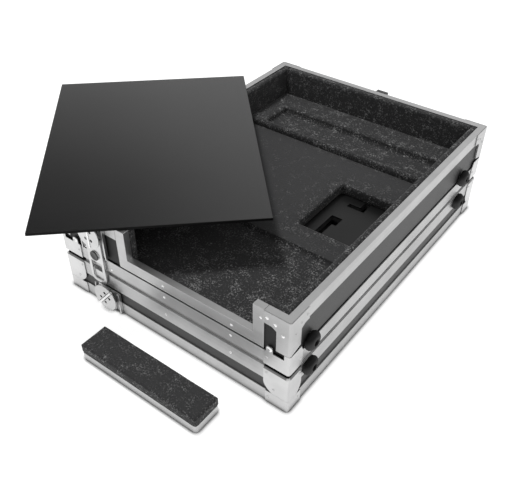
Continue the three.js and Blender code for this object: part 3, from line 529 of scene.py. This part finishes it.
# %% Finishes on the boards and extrusions
merge_distance = 0.00001
flat_angle = math.radians(1)
board_sharp = math.radians(40)
pressing_sharp = math.radians(45)


def finish_solid(node, material, edge=0.0004):
    piece = nodes[node]
    piece.material_slots[0].material = material
    weld = piece.modifiers.new("weld", "WELD")
    weld.merge_threshold = merge_distance
    flat = piece.modifiers.new("whole faces", "DECIMATE")
    flat.decimate_type = "DISSOLVE"
    flat.angle_limit = flat_angle
    broken = piece.modifiers.new("broken edges", "BEVEL")
    broken.width = edge
    broken.segments = 2
    broken.limit_method = "ANGLE"
    broken.angle_limit = board_sharp


frames = [
    "lid_roof_angle_frame", "lid_rim_channel_frame", "tray_bottom_angle_frame",
    "tray_rim_channel_frame", "cutout_trim", "front_panel_edge",
]
for node in frames:
    finish_solid(node, aluminium)
boards = [node for node in nodes if "_wall_" in node]
boards += ["lid_roof_board", "tray_bottom_board", "front_panel_board"]
for node in boards:
    # The front wall's stub takes the laminate with painted shade.
    finish_solid(node, laminate_with_painted_shade if node == "tray_wall_front" else laminate, edge=0.0003)
finish_solid("cover_board", cover_sheet, edge=0.0005)
finish_solid("window_plate", plate_sheet)
finish_solid("rear_catch", black_metal)
print(len(frames), "extrusions and", len(boards), "boards finished")

# %% [markdown]
# The stamped corners, the latches and the handle are small and bright, and their edges are what the
# eye reads. Each is rebuilt from its solid: the triangles are merged, flat faces dissolved back
# into one, the sharp edges rounded in mesh, and curved parts shaded smooth. Normals weighted by area
# keep the flat faces flat.

# %% Rounded pressings
def keep_piece(name, bm, material, body, slot, *stands_for):
    mesh = bpy.data.meshes.new(name)
    bm.to_mesh(mesh)
    bm.free()
    piece = bpy.data.objects.new(name, mesh)
    scene.collection.objects.link(piece)
    mesh.materials.append(material)
    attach(piece, body)
    if stands_for:
        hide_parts(*stands_for)
    return piece


def smooth_by_angle(bm, degrees=35):
    for face in bm.faces:
        face.smooth = True
    for edge in bm.edges:
        edge.smooth = len(edge.link_faces) == 2 and edge.calc_face_angle(0) < math.radians(degrees)


def merged_copy(node):
    bm = bmesh.new()
    bm.from_mesh(nodes[node].data)
    bmesh.ops.remove_doubles(bm, verts=bm.verts, dist=merge_distance)
    bmesh.ops.dissolve_limit(
        bm, angle_limit=flat_angle, use_dissolve_boundaries=False, verts=bm.verts, edges=bm.edges
    )
    return bm


def rounded_pressing(node, body, material, slot, edge=0.0003):
    bm = merged_copy(node)
    sharp = [
        e for e in bm.edges if len(e.link_faces) == 2 and e.calc_face_angle(0) > pressing_sharp
    ]
    bmesh.ops.bevel(
        bm, geom=sharp, offset=edge, segments=2, profile=0.5, affect="EDGES", material=-1,
        clamp_overlap=True,
    )
    smooth_by_angle(bm)
    piece = keep_piece(node + "_pressing", bm, material, body, slot, node)
    shading = piece.modifiers.new("flat faces stay flat", "WEIGHTED_NORMAL")
    shading.keep_sharp = True
    return piece


bodies = frame["record"]["behaviour"]["bodies"]
bodies_of = {node: body for body, listed in bodies.items() for node in listed}
pressings = [node for node in nodes if "_corner" in node or "_latch_" in node]
pressings += ["lid_keeper", "handle_plate"]
for node in pressings:
    metal, slot = (aluminium, "aluminium") if "upright" in node else (steel, "steel")
    if "roof_corner" in node:
        metal = steel_with_painted_seam_shade
    elif node.endswith("_hub"):
        metal = rivet_steel
    rounded_pressing(node, bodies_of[node], metal, slot)
rounded_pressing("handle_bail", bodies_of["handle_bail"], black_metal, "black_metal")
print(len(pressings), "pressings rounded")

# %% [markdown]
# Foam is cut with a knife or a water jet: its edges are soft and its faces never quite flat. Each
# block starts as its solid and is remeshed evenly, the panel's finer than the rest. Every point is
# told how open the foam is there: fully on upright faces, on edges and on the low front of the
# floor, where the sheet was split, partly round the window, where the skin was cut, and hardly at
# all on the rest of the bed. A few rounds of averaging soften this. The points are then moved by a
# fraction of a millimetre of smooth noise. Blender starts this noise from the clock, so it is given
# a seed, and every run makes the same foam.

# %% Foam blocks
bed_front = 0.165
bed_back = 0.400
bed_openness = 0.06
window_openness = 0.55
window_low, window_high = (0.0598, 0.2104), (0.1640, 0.3316)
cut_margin = 0.040
edge_tilt = 0.06
level_normal = 0.7
other_openness = 0.9
block_openness = {"foam_rear_block": 0.75, "lid_foam_pad": 0.5, "front_panel_foam": 0.4}
averaging_rounds = 3
voxel = 0.003
panel_voxel = 0.0016
slow_wave, slow_depth = 60, 0.00022
quick_wave, quick_depth = 260, 0.00010
noise_seed = 11
noise_step = 3.7


def near_window(place):
    gaps = [max(low - at, at - high, 0) for low, at, high in zip(window_low, place, window_high)]
    return max(0, 1 - math.hypot(*gaps) / cut_margin)


def openness(node, place, normal):
    tilt = 1 - max(abs(normal.x), abs(normal.y), abs(normal.z))
    if tilt > edge_tilt or abs(normal.z) < level_normal:
        return 1.0
    if node == "foam_floor" and bed_front < place.y < bed_back:
        return bed_openness + window_openness * near_window(place)
    return block_openness.get(node, other_openness)


def square_block(node):
    low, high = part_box(node)
    bm = bmesh.new()
    bmesh.ops.create_cube(bm, size=1)
    bmesh.ops.scale(bm, vec=[b - a for a, b in zip(low, high)], verts=bm.verts)
    bmesh.ops.translate(bm, vec=[(a + b) / 2 for a, b in zip(low, high)], verts=bm.verts)
    return bm


def cut_foam(node, body, shift):
    bm = square_block(node) if node == "front_panel_foam" else merged_copy(node)
    mesh = bpy.data.meshes.new(node + "_rough")
    bm.to_mesh(mesh)
    bm.free()
    rough = bpy.data.objects.new(node + "_rough", mesh)
    scene.collection.objects.link(rough)
    even = rough.modifiers.new("even", "REMESH")
    even.mode = "VOXEL"
    even.voxel_size = panel_voxel if node == "front_panel_foam" else voxel
    bpy.context.view_layer.update()
    evaluated = rough.evaluated_get(bpy.context.evaluated_depsgraph_get())
    remeshed = bpy.data.meshes.new_from_object(evaluated)
    bpy.data.objects.remove(rough)
    bm = bmesh.new()
    bm.from_mesh(remeshed)
    bm.normal_update()
    opened = [openness(node, vert.co, vert.normal) for vert in bm.verts]
    bm.verts.index_update()
    for averaging in range(averaging_rounds):
        opened = [
            (opened[vert.index] + sum(opened[e.other_vert(vert).index] for e in vert.link_edges))
            / (1 + len(vert.link_edges)) for vert in bm.verts
        ]
    layer = bm.verts.layers.float.new("open_cells")
    for vert in bm.verts:
        vert[layer] = opened[vert.index]
        slow = noise.noise_vector(vert.co * slow_wave + Vector((shift, 0, 0)))
        quick = noise.noise_vector(vert.co * quick_wave + Vector((0, shift, 0)))
        vert.co += slow * slow_depth + quick * quick_depth
    for face in bm.faces:
        face.smooth = True
    piece = keep_piece(node + "_cut", bm, foam, body, "foam", node)
    print(piece.name, len(piece.data.polygons), "faces")


foams = [node for node in nodes if node.startswith("foam_")]
foams += ["lid_foam_pad", "front_panel_foam"]
noise.seed_set(noise_seed)
for count, node in enumerate(sorted(foams)):
    cut_foam(node, bodies_of[node], noise_step * count)

# %% [markdown]
# The feet's rubber has painted shade and light: black on top, as shade under the rail, and lighter
# grey round its sides and end, so the face's slope mixes two tones.

# %% Finish for the rubber feet
painted_light_grey = 0.042
feet_with_painted_shade = finish(
    "black rubber with painted shade and light", fine_grain, (0.004, 0.006), (0.6, 0.8), bump=0.2, specular=0.2
)
foot_tree = feet_with_painted_shade.node_tree
foot_shader = foot_tree.nodes["Principled BSDF"]
shaded_top_tone = foot_shader.inputs["Base Color"].links[0].from_socket
foot_faces = shader_node(foot_tree, "ShaderNodeNewGeometry")
foot_slope = shader_node(foot_tree, "ShaderNodeSeparateXYZ", {0: foot_faces.outputs["Normal"]})
# Painted light on the sides and end, painted shade on top.
painted_light_mask = shader_node(
    foot_tree, "ShaderNodeMapRange",
    {"Value": foot_slope.outputs["Z"], "From Min": 0.55, "From Max": 0.15}, clamp=True,
)
foot_tone = shader_node(
    foot_tree, "ShaderNodeMix",
    {0: painted_light_mask.outputs[0], 6: shaded_top_tone, 7: (painted_light_grey, painted_light_grey, painted_light_grey, 1)},
    data_type="RGBA",
)
foot_tree.links.new(foot_tone.outputs[2], foot_shader.inputs["Base Color"])
print("rubber for", len([name for name in nodes if "_foot_" in name]), "feet")

# %% [markdown]
# A rubber foot is a round knob, so it is spun: a narrow heel, a full belly, a rounded tip with a
# deep hole, and a steel screw head at the bottom of the hole. A profile lists points from the foot's
# seat outwards, each as the distance along the axis and the distance from it.

# %% Rubber feet
def spun(profile, steps):
    bm = bmesh.new()
    points = [bm.verts.new((along, out, 0)) for along, out in profile]
    edges = [bm.edges.new(pair) for pair in zip(points, points[1:])]
    bmesh.ops.spin(
        bm, geom=points + edges, cent=(0, 0, 0), axis=(1, 0, 0), angle=2 * math.pi, steps=steps,
        use_merge=True,
    )
    bmesh.ops.remove_doubles(bm, verts=bm.verts, dist=merge_distance)
    bmesh.ops.recalc_face_normals(bm, faces=bm.faces)
    smooth_by_angle(bm)
    return bm


foot_reach = 0.0100
foot_profile = [
    (0.0, 0.0), (0.0, 0.0122), (0.0010, 0.0128), (0.0024, 0.0133), (0.0040, 0.0134),
    (0.0056, 0.0130), (0.0072, 0.0120), (0.0086, 0.0104), (0.0096, 0.0082), (foot_reach, 0.0062),
    (0.0099, 0.0050), (0.0094, 0.0045), (0.0058, 0.0042), (0.0058, 0.0),
]
screw_profile = [
    (0.0056, 0.0), (0.0056, 0.0037), (0.0064, 0.0035), (0.0071, 0.0023), (0.0074, 0.0)
]
for node in [name for name in nodes if "_foot_" in name]:
    low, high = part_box(node)
    seat = (high[0] - foot_reach, (low[1] + high[1]) / 2, (low[2] + high[2]) / 2)
    rubber_bm = spun(foot_profile, steps=40)
    bmesh.ops.translate(rubber_bm, verts=rubber_bm.verts, vec=seat)
    keep_piece(node + "_rubber", rubber_bm, feet_with_painted_shade, bodies_of[node], "rubber", node)
    screw_bm = spun(screw_profile, steps=20)
    bmesh.ops.translate(screw_bm, verts=screw_bm.verts, vec=seat)
    keep_piece(node + "_screw", screw_bm, steel, bodies_of[node], "steel")
    print(node, "seated at", [round(v * 1000, 1) for v in seat], "mm")

# %% [markdown]
# Rivets hold the extrusions to the boards. Their heads are shallow domes, brighter than the satin
# aluminium round them. One dome is spun about X, turned to face the way that its wall does, and set
# on the face that carries it, sunk by a hair so that no gap shows.

# %% Rivet heads
turns = {"front": -90, "back": 90}
rivet_sink = 0.0003


def set_facing(bm, place, facing):
    turn = Matrix.Rotation(math.radians(turns[facing]), 4, "Z")
    bmesh.ops.transform(bm, matrix=Matrix.Translation(place) @ turn, verts=bm.verts)


def rivet(name, place, facing, body, slot, radius=0.0021, height=0.0011):
    profile = [
        (-rivet_sink, 0.0), (-rivet_sink, radius), (0.15 * height, radius),
        (0.55 * height, 0.86 * radius), (0.86 * height, 0.52 * radius), (height, 0.0),
    ]
    bm = spun(profile, steps=16)
    set_facing(bm, place, facing)
    return keep_piece(name, bm, rivet_steel, body, slot)


front_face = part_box("tray_bottom_angle_frame")[0][1]
front_rivets = {
    "sill_rivet_left": (-0.0021, 0.1010, "tray"),
    "sill_rivet_right": (0.1098, 0.1010, "tray"),
    "tray_angle_rivet_left": (-0.0021, 0.0815, "tray"),
    "tray_angle_rivet_right": (0.1079, 0.0815, "tray"),
    "lid_angle_rivet_left": (-0.0021, 0.0500, "lid"),
    "lid_angle_rivet_right": (0.1070, 0.0500, "lid"),
    "stub_rivet": (0.1535, 0.1405, "tray"),
    "tray_angle_rivet_latch": (-0.1000, 0.0760, "tray"),
}
for name, (x, z, body) in front_rivets.items():
    rivet(name, (x, front_face, z), "front", body, "aluminium")
print(len(front_rivets), "rivets on the front")

# %% [markdown]
# Each upright corner has three bright rivets on its front or back face, and each lower corner of
# the tray has a larger one on its tab. The four corners mirror each other.

# %% Rivets on the tray's corners
corner_sheet = 0.0015
sheet_front = front_face - corner_sheet
sheet_back = 2 * case_middle_y - sheet_front
upright_rivets = [(0.1635, 0.1472), (0.1750, 0.1427), (0.1860, 0.1317)]
tab_rivet = (0.1674, 0.0978)
for side_name, side in (("left", -1), ("right", 1)):
    for end, face_y in (("front", sheet_front), ("back", sheet_back)):
        for count, (x, z) in enumerate(upright_rivets):
            rivet(
                f"upright_rivet_{end}_{side_name}_{count}", (side * x, face_y, z), end, "tray",
                "aluminium", radius=0.0025, height=0.0013,
            )
        tab_place = (side * tab_rivet[0], face_y, tab_rivet[1])
        rivet(
            f"tab_rivet_{end}_{side_name}", tab_place, end, "tray", "steel", radius=0.0041,
            height=0.0016,
        )
print(4 * (len(upright_rivets) + 1), "rivets on the tray's corners")

# %% [markdown]
# The tray's hook carries the cam that pulls it tight. A round black cap sits on it, spun with a
# shallow dish and a rounded rim.

# %% Cam cap on the hook
hook_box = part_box("tray_latch_hook")
cam_radius = 0.0076
cam_height = 0.0919
cap_sink = 0.0004
cap_rim = cam_radius + 0.0001
cam_place = ((hook_box[0][0] + hook_box[1][0]) / 2, hook_box[0][1] + cap_sink, cam_height)
cap_profile = [
    (-cap_sink, 0.0), (-cap_sink, cap_rim), (0.0006, cap_rim), (0.0010, cam_radius - 0.0004),
    (0.0011, cam_radius - 0.0010), (0.0007, cam_radius - 0.0020), (0.0006, 0.0),
]
cap_bm = spun(cap_profile, steps=40)
set_facing(cap_bm, cam_place, "front")
keep_piece("tray_latch_cam_cap", cap_bm, black_metal, "tray_latch_hook", "steel")
print("cam cap", round(cam_radius * 2000, 1), "mm across")

# %% [markdown]
# Between each latch's hub and its wings lies a thin black disc, which is painted shade: it shows
# black through the wings' four holes and along the barrel.

# %% Black discs of painted shade in the latches
shade_disc_radius = 0.0108
shade_disc_thickness = 0.00015
shade_disc_gap = 0.0001
shade_disc_profile = [
    (0.0, 0.0), (0.0, shade_disc_radius), (-shade_disc_thickness, shade_disc_radius), (-shade_disc_thickness, 0.0)
]
for level in ("tray", "lid"):
    wing_low, wing_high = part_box(level + "_latch_wing_a")
    other_low, other_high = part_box(level + "_latch_wing_b")
    hub_low, hub_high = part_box(level + "_latch_hub")
    shade_disc_place = (
        (hub_low[0] + hub_high[0]) / 2, wing_high[1] + shade_disc_gap,
        (min(wing_low[2], other_low[2]) + max(wing_high[2], other_high[2])) / 2,
    )
    shade_disc_bm = spun(shade_disc_profile, steps=36)
    set_facing(shade_disc_bm, shade_disc_place, "front")
    keep_piece(level + "_latch_shade_disc", shade_disc_bm, rubber, level + "_latch_hub", "rubber")
    print(level, "shade disc at", [round(v * 1000, 1) for v in shade_disc_place], "mm")
